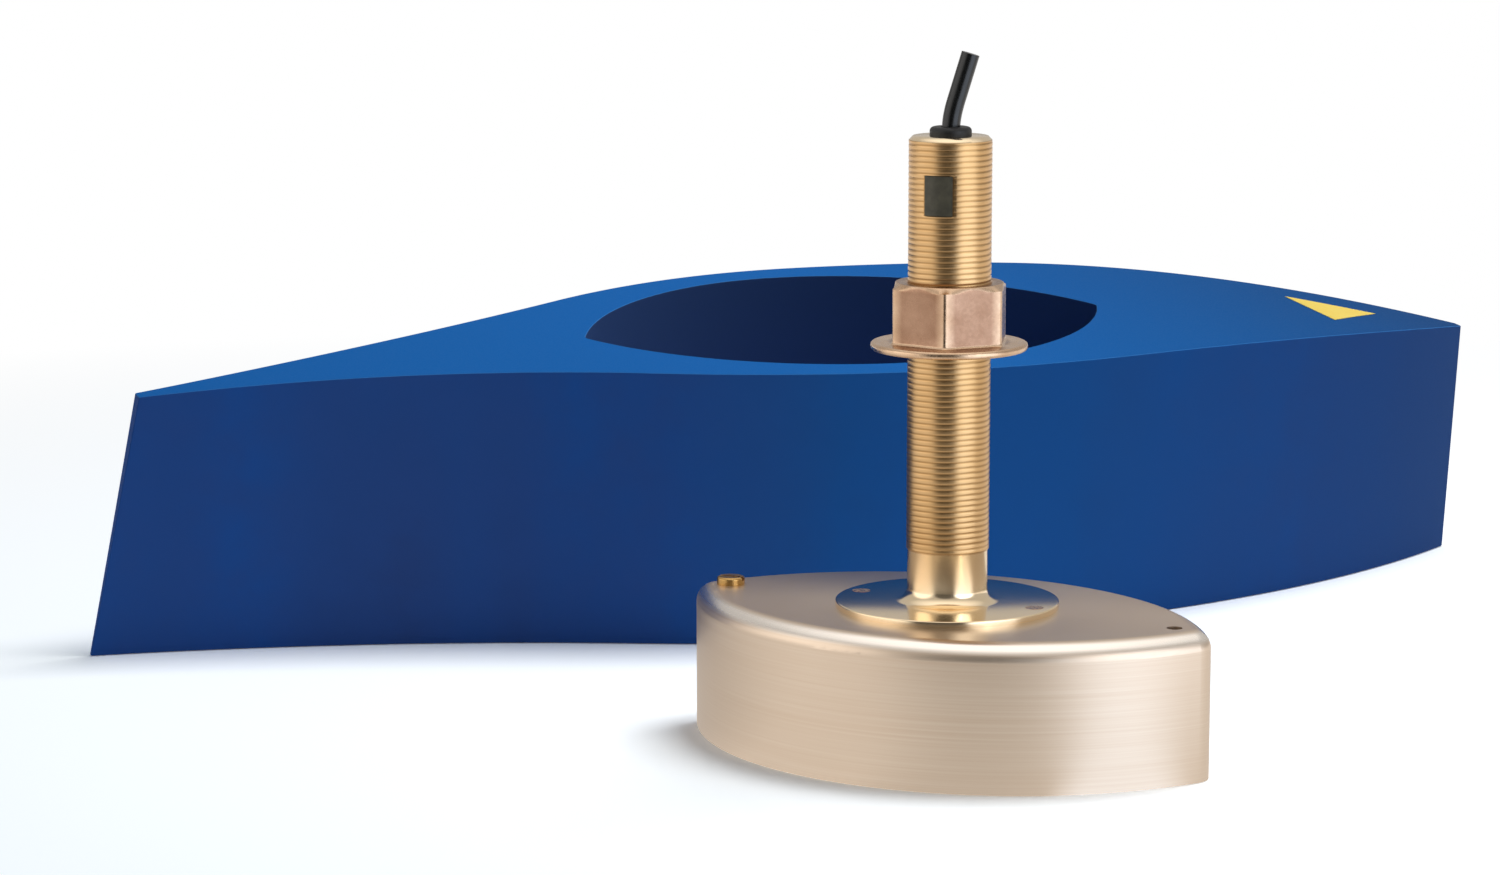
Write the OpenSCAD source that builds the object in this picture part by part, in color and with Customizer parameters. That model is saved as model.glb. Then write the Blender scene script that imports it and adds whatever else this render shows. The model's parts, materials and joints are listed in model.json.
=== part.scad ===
// Thru-hull sonar transducer in cast bronze, standing on its sounding face, with its fairing block behind it

/* [Housing] */
// Length of the housing, tip to tip
housing_length = 215; // [198:1:236]
// Width of the housing at the stem
housing_width = 134; // [124:1:148]
// Height of the housing from the sounding face to its flat top
housing_height = 57; // [52:1:66]
// Radius of the two tips, seen from above
tip_r = 10; // [8:0.5:13]
// Radius along the top edge
top_edge_r = 7; // [2:0.5:7.5]
// Thickness of the side wall
wall = 6; // [4:0.5:7.5]
// Thickness of the flat top
roof = 8; // [7:0.5:10]
// Distance of each tapped tip hole from its tip
tip_hole_from_tip = 14; // [12:0.5:20]
// Depth of the boss under each tip hole
tip_boss_depth = 10; // [6:1:14]
// Wall of the boss around each tip hole
tip_boss_wall = 4; // [3:0.5:5]

/* [Stem] */
// Outside diameter of the stem's thread
stem_d = 31.75; // [28:0.25:36]
// Depth of the thread's pitch line below its crests
thread_depth = 0.7; // [0.4:0.05:1]
// How far the smooth shank below the thread is set in from the thread
shank_relief = 0.375; // [0.25:0.125:1.5]
// Length of the smooth shank above the seat flange
shank_length = 20.5; // [12:0.5:40]
// Height of the stem's top above the seat flange
stem_rise = 178.5; // [160:0.5:220]
// Radius of the flared foot of the shank
foot_r = 5; // [2:0.5:9]
// Chamfer at the top of the stem
stem_chamfer = 1.5; // [0.5:0.25:3]
// Diameter of the bore for the cable
stem_bore = 13; // [11:0.5:16]
// Diameter of the seat flange
flange_d = 86; // [80:1:100]
// Thickness of the seat flange
flange_t = 2.5; // [2.4:0.1:4]
// Diameter of the spigot through the housing's top
spigot_d = 24; // [20:0.5:28]
// Width across flats of the lock nut under the housing's top
lock_nut_flats = 36; // [33:1:42]
// Height of the lock nut
lock_nut_t = 6; // [4:0.5:7]
// Clearance around the spigot
spigot_clear = 0.15; // [0.05:0.05:0.3]

/* [Seat seal and screws] */
// Section diameter of the O-ring under the seat flange
oring_d = 2.5; // [1.8:0.1:3.2]
// Diameter of the O-ring at the middle of its section
oring_ring_d = 56; // [50:1:60]
// Side room in the O-ring groove
oring_room = 0.4; // [0.2:0.1:0.8]
// Diameter of the circle of flange screws
flange_screw_circle = 73; // [70:1:75]
// Diameter of a flange screw's thread
flange_screw_d = 4; // [3:0.5:5]
// Diameter of a flange screw's countersunk head
flange_screw_head_d = 7; // [6:0.5:8]
// Length of a flange screw
flange_screw_length = 8; // [6:0.5:9]

/* [Anti-rotation bolt] */
// Thread diameter of the bolt and of both tip holes
bolt_d = 6; // [5:0.5:8]
// Depth of the tip holes
bolt_hole_depth = 14; // [10:0.5:16]
// Length of the bolt below its head
bolt_length = 12; // [6:0.5:13]
// Diameter of the bolt's head
bolt_head_d = 11; // [9:0.5:13]
// Height of the bolt's head
bolt_head_t = 3; // [2:0.25:4.5]
// Radius at the edge of the bolt's head
bolt_head_edge = 1; // [0.5:0.25:1.5]
// Width of the slot in the bolt's head
bolt_slot_w = 1.6; // [1:0.1:2.4]
// Depth of the slot in the bolt's head
bolt_slot_depth = 1.4; // [0.8:0.1:1.8]

/* [Hull nut] */
// Width across the flats of the hex
nut_flats = 41.5; // [39:0.5:48]
// Height of the whole nut
nut_height = 26; // [16:0.5:32]
// Diameter of the nut's flange
nut_flange_d = 60; // [56:1:72]
// Thickness of the nut's flange
nut_flange_t = 3; // [2:0.25:6]
// Height of the chamfer on the hex's upper corners
nut_chamfer = 2; // [1:0.25:3]
// Height of the nut above the seat flange
nut_gap = 97; // [40:1:120]
// Turn of the nut on the thread, in degrees
nut_turn = 50; // [0:1:60]
// Clearance of the nut on the thread
nut_clear = 0.1; // [0.05:0.05:0.3]

/* [Cable] */
// Diameter of the cable
cable_d = 7; // [6:0.25:8]
// Diameter of the grommet's rim
grommet_d = 16; // [14:0.5:20]
// Height of the grommet's rim above the stem
grommet_t = 3.5; // [2:0.25:5]
// Depth of the grommet in the bore
grommet_depth = 14; // [8:0.5:20]
// Length of the potting plug below the grommet
potting_length = 30; // [15:1:50]
// Diameter of one conductor
conductor_d = 1.6; // [1:0.1:2]
// Diameter of the circle of conductors
conductor_circle = 4; // [3.2:0.1:5]
// Direction in which the cable leans, in degrees from the long axis
cable_lean = 27; // [-180:1:180]

/* [Plate on the stem] */
// Height of the plate
plate_height = 15; // [8:0.5:24]
// Angle that the plate covers on the thread, in degrees
plate_angle = 41; // [20:1:70]
// Direction that the plate faces, in degrees from the long axis
plate_turn = -83; // [-180:1:180]
// Depth of the plate's top below the stem's top
plate_drop = 14; // [4:0.5:20]
// Thickness of the plate
plate_t = 0.4; // [0.2:0.1:0.8]
// Depth of the plate's face below the thread's crests
plate_set = 0.1; // [0.05:0.05:0.3]

/* [Ceramics] */
// Thickness of the acoustic window
window_t = 6; // [4:0.5:8]
// Diameter of one ceramic of the seven
array_d = 25; // [22:0.5:27]
// Thickness of the pad behind one ceramic of the seven
array_pad_t = 6; // [3:0.5:8]
// Diameter of each of the two large ceramics
low_d = 36; // [32:0.5:38]
// Thickness of the pad behind each of the two large ceramics
low_pad_t = 3; // [2:0.5:6]
// Thickness of the sleeve around a ceramic
sleeve_t = 1.5; // [1:0.1:2]
// Wall of the carrier between two holes
carrier_web = 2.3; // [1.5:0.1:3]
// Thickness of the backing plate
backing_t = 6; // [4:0.5:8]
// Room over the backing plate for the board, the coil and the lock nut
top_space = 16; // [14:0.5:18]
// Diameter of a lead pin
lead_d = 1.2; // [0.8:0.1:1.6]
// Diameter of the temperature probe
probe_d = 6; // [4:0.5:7]
// Clearance of the inner pieces
inner_clear = 0.2; // [0.1:0.05:0.3]

/* [Board and coil] */
// Length of the terminal board
board_length = 44; // [40:1:52]
// Width of the terminal board
board_width = 30; // [26:1:34]
// Thickness of the terminal board
board_t = 1.6; // [1:0.2:2]
// Height of the board's spacers
spacer_t = 2; // [1:0.25:2.5]
// Diameter of the board's spacers
spacer_d = 5; // [4:0.5:6]
// Distance of the tuning coil from the housing's tip
coil_from_tip = 48; // [44:1:54]
// Diameter of the coil's core
core_d = 28; // [24:0.5:30]
// Height of the coil's core
core_height = 12; // [10:0.5:13]
// Wall of the coil's core
core_wall = 2.5; // [2:0.25:3]
// Diameter of the core's centre post
core_post_d = 10; // [8:0.5:12]

/* [Fairing] */
// Length from the pocket's centre to the bow
fairing_bow = 319; // [290:1:350]
// Length from the pocket's centre to the tail, at the top
fairing_tail = 322; // [300:1:350]
// Widest part of the fairing
fairing_width = 196; // [186:1:220]
// Distance of the widest part ahead of the pocket's centre
fairing_beam_x = 18; // [0:1:30]
// Height of the fairing's top over the hull side, at the pocket's centre
fairing_height = 130; // [120:1:150]
// Thickness of the tail's edge
fairing_tail_t = 8; // [5:0.5:14]
// Thickness of the bow's edge
fairing_bow_t = 5; // [3:0.5:8]
// Slope of the tail's sides where they change from round to hollow, in degrees
tail_slope = 26; // [24:0.5:28]
// Slope of the sides at the tail's edge, in degrees
tail_end_slope = 8; // [6:0.5:10]
// Angle to which the hull side is cut, in degrees
deadrise = 6.2; // [0:0.2:9]
// Radius of the top towards the bow
bow_crown_r = 1200; // [1000:20:2000]
// Distance ahead of the pocket's centre at which the top starts to fall
bow_crown_x = 100; // [60:1:140]
// Radius of the top towards the tail, from the pocket's centre on
tail_crown_r = 3200; // [2800:50:9000]
// Rake of the tail's edge, in degrees
tail_rake = 10; // [0:0.5:14]
// Clearance of the housing in the pocket
pocket_clear = 14.5; // [4:0.5:18]
// Radius of the pocket's two tips, seen from above
pocket_tip_r = 4; // [4:0.5:12]
// Depth of the pocket beyond the housing's height
pocket_extra = 2; // [0.5:0.5:6]
// Clearance of the stem and the bolt in their holes
hull_hole_clear = 1.5; // [0.5:0.25:3]
// Length of the bow mark
mark_length = 36; // [20:1:60]
// Width of the bow mark
mark_width = 48; // [30:1:70]
// Distance of the mark's point from the bow
mark_from_bow = 46; // [30:1:90]
// Thickness of the bow mark
mark_t = 0.5; // [0.3:0.1:1]
// Place of the pocket's centre along the housing's long axis
fairing_x = -169; // [-190:1:-150]
// Place of the pocket's centre across the housing's long axis
fairing_y = 250; // [240:1:280]
// Turn of the fairing against the housing, in degrees
fairing_turn = 49; // [40:1:60]

/* [Hidden] */
$fn = 96;
// Facets of the fairing's large arcs
arc_sides = 360;

// Cutters reach this far past the faces that they open
over = 1;

// The housing's plan is two arcs, closed at each tip by a small round that touches both
half_length = housing_length / 2;
half_width = housing_width / 2;
tip_hole_x = half_length - tip_hole_from_tip;
coil_x = half_length - coil_from_tip;
tip_x = half_length - tip_r;
arc_r = (tip_x * tip_x / (half_width - tip_r) + half_width + tip_r) / 2;
arc_y = arc_r - half_width;
tip_reach = 1.5;

// Heights of the housing and the stem
cavity_z = housing_height - roof;
flange_top = housing_height + flange_t;
stem_top = flange_top + stem_rise;
spigot_extra = 1.5;
spigot_z = cavity_z - lock_nut_t - spigot_extra;
thread_z = flange_top + shank_length;
nut_z = flange_top + nut_gap;
// The thread inside the nut is a plain band at the pitch line, so that the thread holds the nut
pitch_r = stem_d / 2 - thread_depth;
band_z = nut_z - nut_clear;
band_top = nut_z + nut_height + nut_clear;
potting_top = stem_top - grommet_depth;
potting_bottom = potting_top - potting_length;
plate_seat_r = stem_d / 2 - plate_set - plate_t;

// Distance of the inner plates' edges from the housing's outside
inner_inset = wall + inner_clear;

// Heights of the pieces inside, and the thickness that the carrier and its ceramics are left with
carrier_z = window_t;
carrier_t = cavity_z - top_space - backing_t - carrier_z;
array_t = carrier_t - array_pad_t;
low_t = carrier_t - low_pad_t;
backing_z = carrier_z + carrier_t;
board_z = backing_z + backing_t + spacer_t;
board_top = board_z + board_t;

// Places of the ceramics: one in the middle, six around it, and a large one at each end
array_hole_r = array_d / 2 + sleeve_t + inner_clear;
array_pitch = 2 * array_hole_r + carrier_web;
array_places = concat([[0, 0]], [for (k = [0:5]) array_pitch * [cos(60 * k), sin(60 * k)]]);
low_hole_r = low_d / 2 + sleeve_t + inner_clear;
low_x = array_pitch + array_hole_r + carrier_web + low_hole_r;
low_places = [[-low_x, 0], [low_x, 0]];
// The probe's hole lies a web away from the holes of one outer ceramic and the large one beside it
probe_hole_r = probe_d / 2 + inner_clear;
probe_from_array = array_hole_r + carrier_web + probe_hole_r;
probe_from_low = low_hole_r + carrier_web + probe_hole_r;
low_from_array = low_x - array_pitch;
probe_lead = pow(probe_from_array, 2) - pow(probe_from_low, 2);
probe_along = (probe_lead + pow(low_from_array, 2)) / (2 * low_from_array);
probe_place = [-array_pitch - probe_along, sqrt(pow(probe_from_array, 2) - pow(probe_along, 2))];
conductor_places = [for (k = [0:3]) conductor_circle / 2 * [cos(90 * k), sin(90 * k)]];
board_margin = 1;
spacer_x = board_length / 2 - spacer_d / 2 - board_margin;
spacer_y = board_width / 2 - spacer_d / 2 - board_margin;
spacer_places = [for (x = [-spacer_x, spacer_x], y = [-spacer_y, spacer_y]) [x, y]];

// The fairing's plan: one arc to the bow, a round and a hollow arc to the tail
beam_half = fairing_width / 2;
bow_half = fairing_bow_t / 2;
tail_half = fairing_tail_t / 2;
bow_run = fairing_bow - fairing_beam_x;
bow_r = (bow_run * bow_run + pow(beam_half - bow_half, 2)) / (2 * (beam_half - bow_half));
tail_run = fairing_tail + fairing_beam_x;
tail_fall = beam_half - tail_half;
// Two equations, for the run and the fall of the two arcs, give their radii
run_round = sin(tail_slope);
run_hollow = sin(tail_slope) - sin(tail_end_slope);
fall_round = 1 - cos(tail_slope);
fall_hollow = cos(tail_end_slope) - cos(tail_slope);
arcs_det = run_round * fall_hollow - run_hollow * fall_round;
round_r = (tail_run * fall_hollow - run_hollow * tail_fall) / arcs_det;
hollow_r = (run_round * tail_fall - fall_round * tail_run) / arcs_det;
turn_x = fairing_beam_x - round_r * run_round;
turn_half = beam_half - round_r * fall_round;
hollow_x = turn_x - hollow_r * sin(tail_slope);
hollow_y = turn_half + hollow_r * cos(tail_slope);
tail_extra = fairing_height * tan(tail_rake);
pocket_depth = housing_height + pocket_extra;
pocket_z = fairing_height - pocket_depth;
block_floor = -beam_half;
block_height = fairing_height - block_floor;
// Stretches of the plan and of the side view that meet overlap by this much along the fairing
plan_lap = 2;
// A lap under the side view's level stretch stays this far below the top, where the arcs have fallen less
crown_lap = 0.1;
// The floor is cut with a block that reaches this far each way
floor_reach = 2 * fairing_tail;

// Route of the cable over the stem's top: distance along the lean, height
cable_route = [[0, -14], [0, -11], [0, -8], [0, -5], [0, -2], [0, 1], [0.15, 4], [0.5, 7],
               [1.1, 10], [1.9, 13], [2.8, 16], [3.7, 19], [4.6, 22], [5.5, 25], [6.4, 28], [7.3, 31]];
cable_sides = 12;

// A disc with a rounded upper edge
module edged_disc(r, height, edge) {
    rotate_extrude() {
        square([r - edge, height]);
        square([r, height - edge]);
        translate([r - edge, height - edge])
            intersection() {
                circle(edge);
                square(edge);
            }
    }
}

// Distance from the stem to the middle of a tip round that touches both arcs, set in or grown
function tip_middle(inset, tip) = sqrt(pow(arc_r - inset - tip, 2) - pow(arc_y, 2));

// The plan inside the two lines on which the arcs meet the tip rounds
module between_tips(middle, height) {
    far_x = middle * tip_reach;
    far_y = arc_y * (tip_reach - 1);
    far_side = 2 * arc_r;
    linear_extrude(height)
        polygon([[middle, 0], [far_x, far_y], [far_x, far_side], [-far_x, far_side], [-far_x, far_y],
                 [-middle, 0], [-far_x, -far_y], [-far_x, -far_side], [far_x, -far_side], [far_x, -far_y]]);
}

// The housing's outer form, with its upper edge rounded
module lens_edged(height, edge) {
    intersection() {
        translate([0, -arc_y, 0]) edged_disc(arc_r, height, edge);
        translate([0, arc_y, 0]) edged_disc(arc_r, height, edge);
        between_tips(tip_x, height);
    }
    for (side = [-1, 1])
        translate([side * tip_x, 0, 0]) edged_disc(tip_r, height, edge);
}

// The same form with a sharp edge, its arcs set in by a wall or grown by a clearance, with its own tip radius
module lens(inset, tip, height) {
    middle = tip_middle(inset, tip);
    intersection() {
        translate([0, -arc_y, 0]) cylinder(r = arc_r - inset, h = height);
        translate([0, arc_y, 0]) cylinder(r = arc_r - inset, h = height);
        between_tips(middle, height);
    }
    for (side = [-1, 1])
        translate([side * middle, 0, 0]) cylinder(r = tip, h = height);
}

// Round holes or pins at a list of places
module rounds(places, r, z, height) {
    for (place = places)
        translate([place.x, place.y, z]) cylinder(r = r, h = height);
}

// Tubes at a list of places
module tubes(places, outer_r, inner_r, z, height) {
    for (place = places)
        translate([place.x, place.y, z])
            difference() {
                cylinder(r = outer_r, h = height);
                translate([0, 0, -over]) cylinder(r = inner_r, h = height + 2 * over);
            }
}

module flange_screw_spots() {
    for (side = [-1, 1])
        translate([side * flange_screw_circle / 2, 0, 0]) children();
}

module housing() color([0.80, 0.72, 0.60]) {
    boss_r = bolt_d / 2 + tip_boss_wall;
    boss_sink = roof / 2;
    difference() {
        union() {
            difference() {
                lens_edged(housing_height, top_edge_r);
                translate([0, 0, -over]) lens(wall, tip_r - wall, cavity_z + over);
            }
            for (side = [-1, 1])
                translate([side * tip_hole_x, 0, cavity_z - tip_boss_depth])
                    cylinder(r = boss_r, h = tip_boss_depth + boss_sink);
        }
        translate([0, 0, cavity_z - over]) cylinder(d = spigot_d + 2 * spigot_clear, h = roof + 2 * over);
        translate([0, 0, housing_height - oring_d])
            difference() {
                cylinder(d = oring_ring_d + oring_d + oring_room, h = oring_d + over);
                translate([0, 0, -over])
                    cylinder(d = oring_ring_d - oring_d - oring_room, h = oring_d + 3 * over);
            }
        flange_screw_spots()
            translate([0, 0, flange_top - flange_screw_length])
                cylinder(d = flange_screw_d, h = flange_screw_length + over);
        for (side = [-1, 1])
            translate([side * tip_hole_x, 0, housing_height - bolt_hole_depth])
                cylinder(d = bolt_d, h = bolt_hole_depth + over);
    }
}

module acoustic_window() color([0.16, 0.16, 0.17])
    difference() {
        lens(inner_inset, tip_r - inner_inset, window_t);
        rounds([probe_place], probe_d / 2, -over, window_t + 2 * over);
    }

module element_carrier() color([0.86, 0.82, 0.70])
    difference() {
        translate([0, 0, carrier_z]) lens(inner_inset, tip_r - inner_inset, carrier_t);
        rounds(array_places, array_hole_r, carrier_z - over, carrier_t + 2 * over);
        rounds(low_places, low_hole_r, carrier_z - over, carrier_t + 2 * over);
        rounds([probe_place], probe_hole_r, carrier_z - over, carrier_t + 2 * over);
    }

module array_elements() color([0.72, 0.70, 0.62])
    rounds(array_places, array_d / 2, carrier_z, array_t);

module array_sleeves() color([0.55, 0.40, 0.25])
    tubes(array_places, array_d / 2 + sleeve_t, array_d / 2, carrier_z, carrier_t);

module array_pads() color([0.50, 0.36, 0.22])
    tubes(array_places, array_d / 2, lead_d / 2, carrier_z + array_t, array_pad_t);

module low_elements() color([0.72, 0.70, 0.62])
    rounds(low_places, low_d / 2, carrier_z, low_t);

module low_sleeves() color([0.55, 0.40, 0.25])
    tubes(low_places, low_d / 2 + sleeve_t, low_d / 2, carrier_z, carrier_t);

module low_pads() color([0.50, 0.36, 0.22])
    tubes(low_places, low_d / 2, lead_d / 2, carrier_z + low_t, low_pad_t);

module element_leads() color([0.75, 0.45, 0.25]) {
    rounds(array_places, lead_d / 2, carrier_z + array_t, array_pad_t + backing_t);
    rounds(low_places, lead_d / 2, carrier_z + low_t, low_pad_t + backing_t);
}

module backing_plate() color([0.88, 0.86, 0.80])
    difference() {
        translate([0, 0, backing_z]) lens(inner_inset, tip_r - inner_inset, backing_t);
        rounds(array_places, lead_d / 2, backing_z - over, backing_t + 2 * over);
        rounds(low_places, lead_d / 2, backing_z - over, backing_t + 2 * over);
    }

module board_spacers() color([0.90, 0.90, 0.86])
    rounds(spacer_places, spacer_d / 2, backing_z + backing_t, spacer_t);

module terminal_board() color([0.10, 0.38, 0.20])
    translate([-board_length / 2, -board_width / 2, board_z])
        cube([board_length, board_width, board_t]);

module conductors() color([0.75, 0.20, 0.15])
    rounds(conductor_places, conductor_d / 2, board_top, potting_top - board_top);

// One half of the coil's core, a cup with a centre post
module core_half() {
    half_height = core_height / 2;
    difference() {
        cylinder(d = core_d, h = half_height);
        translate([0, 0, core_wall])
            difference() {
                cylinder(d = core_d - 2 * core_wall, h = half_height);
                translate([0, 0, -over]) cylinder(d = core_post_d, h = half_height + 2 * over);
            }
    }
}

module coil_core_lower() color([0.22, 0.21, 0.21])
    translate([coil_x, 0, backing_z + backing_t]) core_half();

module coil_core_upper() color([0.26, 0.25, 0.25])
    translate([coil_x, 0, backing_z + backing_t + core_height]) mirror([0, 0, 1]) core_half();

module coil_winding() color([0.72, 0.42, 0.22])
    tubes([[coil_x, 0]], core_d / 2 - core_wall - inner_clear, core_post_d / 2 + inner_clear,
          backing_z + backing_t + core_wall, core_height - 2 * core_wall);

module temperature_probe() color([0.78, 0.62, 0.30])
    rounds([probe_place], probe_d / 2, 0, backing_z);

module stem() color([0.74, 0.58, 0.36]) {
    stem_r = stem_d / 2;
    shank_r = stem_r - shank_relief;
    difference() {
        rotate_extrude() {
            translate([0, spigot_z]) square([spigot_d / 2, stem_top - stem_chamfer - spigot_z]);
            translate([0, housing_height]) square([flange_d / 2, flange_t]);
            translate([0, flange_top]) square([shank_r, shank_length]);
            translate([0, thread_z]) square([stem_r, band_z - thread_z]);
            translate([0, band_z]) square([pitch_r, band_top - band_z]);
            translate([0, band_top]) square([stem_r, stem_top - stem_chamfer - band_top]);
            translate([0, stem_top - stem_chamfer])
                polygon([[0, 0], [stem_r, 0], [stem_r - stem_chamfer, stem_chamfer], [0, stem_chamfer]]);
            translate([shank_r, flange_top])
                difference() {
                    square(foot_r);
                    translate([foot_r, foot_r]) circle(foot_r);
                }
        }
        translate([0, 0, spigot_z - over]) cylinder(d = stem_bore, h = stem_top - spigot_z + 2 * over);
        flange_screw_spots() flange_screw(over);
        plate_sector(plate_seat_r, stem_r + over);
    }
}

// A countersunk screw with its head flush in the seat flange, or carried on above it as a cutter
module flange_screw(above) {
    head_t = (flange_screw_head_d - flange_screw_d) / 2;
    translate([0, 0, flange_top - flange_screw_length]) cylinder(d = flange_screw_d, h = flange_screw_length);
    translate([0, 0, flange_top - head_t])
        cylinder(d1 = flange_screw_d, d2 = flange_screw_head_d + 2 * above, h = head_t + above);
}

module flange_oring() color([0.08, 0.08, 0.08])
    translate([0, 0, housing_height - oring_d / 2])
        rotate_extrude() translate([oring_ring_d / 2, 0]) circle(d = oring_d);

module flange_screws() color([0.55, 0.40, 0.24])
    flange_screw_spots() flange_screw(0);

module stem_lock_nut() color([0.72, 0.56, 0.34])
    translate([0, 0, cavity_z - lock_nut_t])
        difference() {
            cylinder(d = lock_nut_flats / cos(30), h = lock_nut_t, $fn = 6);
            translate([0, 0, -over]) cylinder(d = spigot_d + 2 * nut_clear, h = lock_nut_t + 2 * over);
        }

module hull_nut() color([0.76, 0.60, 0.46]) {
    flat_r = nut_flats / 2;
    corner_r = flat_r / cos(30);
    translate([0, 0, nut_z])
        difference() {
            union() {
                cylinder(d = nut_flange_d, h = nut_flange_t);
                intersection() {
                    rotate([0, 0, nut_turn]) cylinder(r = corner_r, h = nut_height, $fn = 6);
                    rotate_extrude()
                        polygon([[0, 0], [corner_r, 0], [corner_r, nut_height - nut_chamfer],
                                 [flat_r, nut_height], [0, nut_height]]);
                }
            }
            translate([0, 0, -over]) cylinder(r = pitch_r + nut_clear, h = nut_height + 2 * over);
        }
}

module stem_potting() color([0.12, 0.12, 0.13])
    difference() {
        translate([0, 0, potting_bottom]) cylinder(d = stem_bore, h = potting_length);
        rounds(conductor_places, conductor_d / 2, potting_bottom - over, potting_length + 2 * over);
    }

module cable_grommet() color([0.07, 0.07, 0.08]) {
    hole_r = cable_d / 2 + inner_clear;
    rim_edge = grommet_t / 2;
    translate([0, 0, stem_top])
        difference() {
            union() {
                translate([0, 0, -grommet_depth]) cylinder(d = stem_bore, h = grommet_depth + rim_edge);
                edged_disc(grommet_d / 2, grommet_t, rim_edge);
            }
            translate([0, 0, -grommet_depth - over])
                cylinder(r = hole_r, h = grommet_depth + grommet_t + 2 * over);
        }
}

// A ring of points square to the route at point k
function route_step(k) = cable_route[min(k + 1, len(cable_route) - 1)] - cable_route[max(k - 1, 0)];
function route_ring(k) = let (step = route_step(k) / norm(route_step(k)))
    [for (i = [0:cable_sides - 1])
        let (a = 360 * i / cable_sides, across = cable_d / 2 * cos(a), aside = cable_d / 2 * sin(a))
        [cable_route[k].x + across * step.y, aside, cable_route[k].y - across * step.x]];

module cable() color([0.06, 0.06, 0.07]) {
    rings = len(cable_route);
    points = [for (k = [0:rings - 1]) each route_ring(k)];
    sides = [for (k = [0:rings - 2], i = [0:cable_sides - 1])
        let (j = (i + 1) % cable_sides, low = k * cable_sides, high = low + cable_sides)
        [low + i, high + i, high + j, low + j]];
    start = [for (i = [0:cable_sides - 1]) i];
    finish = [for (i = [cable_sides - 1:-1:0]) (rings - 1) * cable_sides + i];
    translate([0, 0, stem_top]) rotate([0, 0, cable_lean])
        polyhedron(points, concat(sides, [start, finish]));
}

// A part of a tube on the stem, as wide and as high as the plate
module plate_sector(inner_r, outer_r) {
    reach = 2 * outer_r;
    half_side = reach * tan(plate_angle / 2);
    translate([0, 0, stem_top - plate_drop - plate_height])
        rotate([0, 0, plate_turn])
            intersection() {
                difference() {
                    cylinder(r = outer_r, h = plate_height);
                    translate([0, 0, -over]) cylinder(r = inner_r, h = plate_height + 2 * over);
                }
                linear_extrude(plate_height) polygon([[0, 0], [reach, -half_side], [reach, half_side]]);
            }
}

module stem_plate() color([0.20, 0.22, 0.20])
    plate_sector(plate_seat_r, plate_seat_r + plate_t);

module anti_rotation_bolt() color([0.80, 0.62, 0.30])
    translate([-tip_hole_x, 0, housing_height])
        difference() {
            union() {
                translate([0, 0, -bolt_length]) cylinder(d = bolt_d, h = bolt_length);
                edged_disc(bolt_head_d / 2, bolt_head_t, bolt_head_edge);
            }
            translate([-bolt_head_d, -bolt_slot_w / 2, bolt_head_t - bolt_slot_depth])
                cube([2 * bolt_head_d, bolt_slot_w, bolt_slot_depth + over]);
        }

// The fairing's pose behind the transducer, resting on its cut hull side
module fairing_pose() {
    translate([fairing_x, fairing_y, 0]) rotate([0, 0, fairing_turn]) rotate([deadrise, 0, 0]) children();
}

// Plan of the fairing: two bow arcs, two round arcs and two hollow arcs
module fairing_plan() {
    intersection() {
        translate([fairing_beam_x, beam_half - bow_r]) circle(bow_r, $fn = arc_sides);
        translate([fairing_beam_x, bow_r - beam_half]) circle(bow_r, $fn = arc_sides);
        translate([fairing_beam_x, -beam_half]) square([bow_run, fairing_width]);
    }
    intersection() {
        translate([fairing_beam_x, beam_half - round_r]) circle(round_r, $fn = arc_sides);
        translate([fairing_beam_x, round_r - beam_half]) circle(round_r, $fn = arc_sides);
        translate([turn_x - plan_lap, -beam_half])
            square([fairing_beam_x - turn_x + 2 * plan_lap, fairing_width]);
    }
    difference() {
        translate([-fairing_tail - tail_extra, -turn_half])
            square([fairing_tail + tail_extra + turn_x, 2 * turn_half]);
        translate([hollow_x, hollow_y]) circle(hollow_r, $fn = arc_sides);
        translate([hollow_x, -hollow_y]) circle(hollow_r, $fn = arc_sides);
    }
}

// Side view: level over the pocket, an arc down to the bow and a longer one down to the raked tail
module fairing_side(drop) {
    reach = fairing_tail + tail_extra + over;
    translate([-plan_lap, block_floor]) square([bow_crown_x + 2 * plan_lap, block_height - drop - crown_lap]);
    translate([0, block_floor]) square([bow_crown_x, block_height - drop]);
    intersection() {
        translate([bow_crown_x, fairing_height - bow_crown_r]) circle(bow_crown_r - drop, $fn = arc_sides);
        translate([bow_crown_x, block_floor]) square([fairing_bow - bow_crown_x + over, block_height]);
    }
    intersection() {
        translate([0, fairing_height - tail_crown_r]) circle(tail_crown_r - drop, $fn = arc_sides);
        polygon([[0, block_floor], [0, fairing_height],
                 [-fairing_tail, fairing_height], [-reach, 0], [-reach, block_floor]]);
    }
}

module fairing_block(drop) {
    intersection() {
        translate([0, 0, block_floor]) linear_extrude(block_height) fairing_plan();
        translate([0, fairing_width, 0])
            rotate([90, 0, 0]) linear_extrude(2 * fairing_width) fairing_side(drop);
    }
}

// The bow mark's outline, carried through the fairing's top
module mark_prism() {
    point_x = fairing_bow - mark_from_bow;
    base_x = point_x - mark_length;
    translate([0, 0, fairing_height / 2])
        linear_extrude(fairing_height)
            polygon([[point_x, 0], [base_x, mark_width / 2], [base_x, -mark_width / 2]]);
}

module bow_mark() color([0.98, 0.84, 0.30])
    fairing_pose()
        intersection() {
            difference() {
                fairing_block(0);
                fairing_block(mark_t);
            }
            mark_prism();
        }

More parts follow.
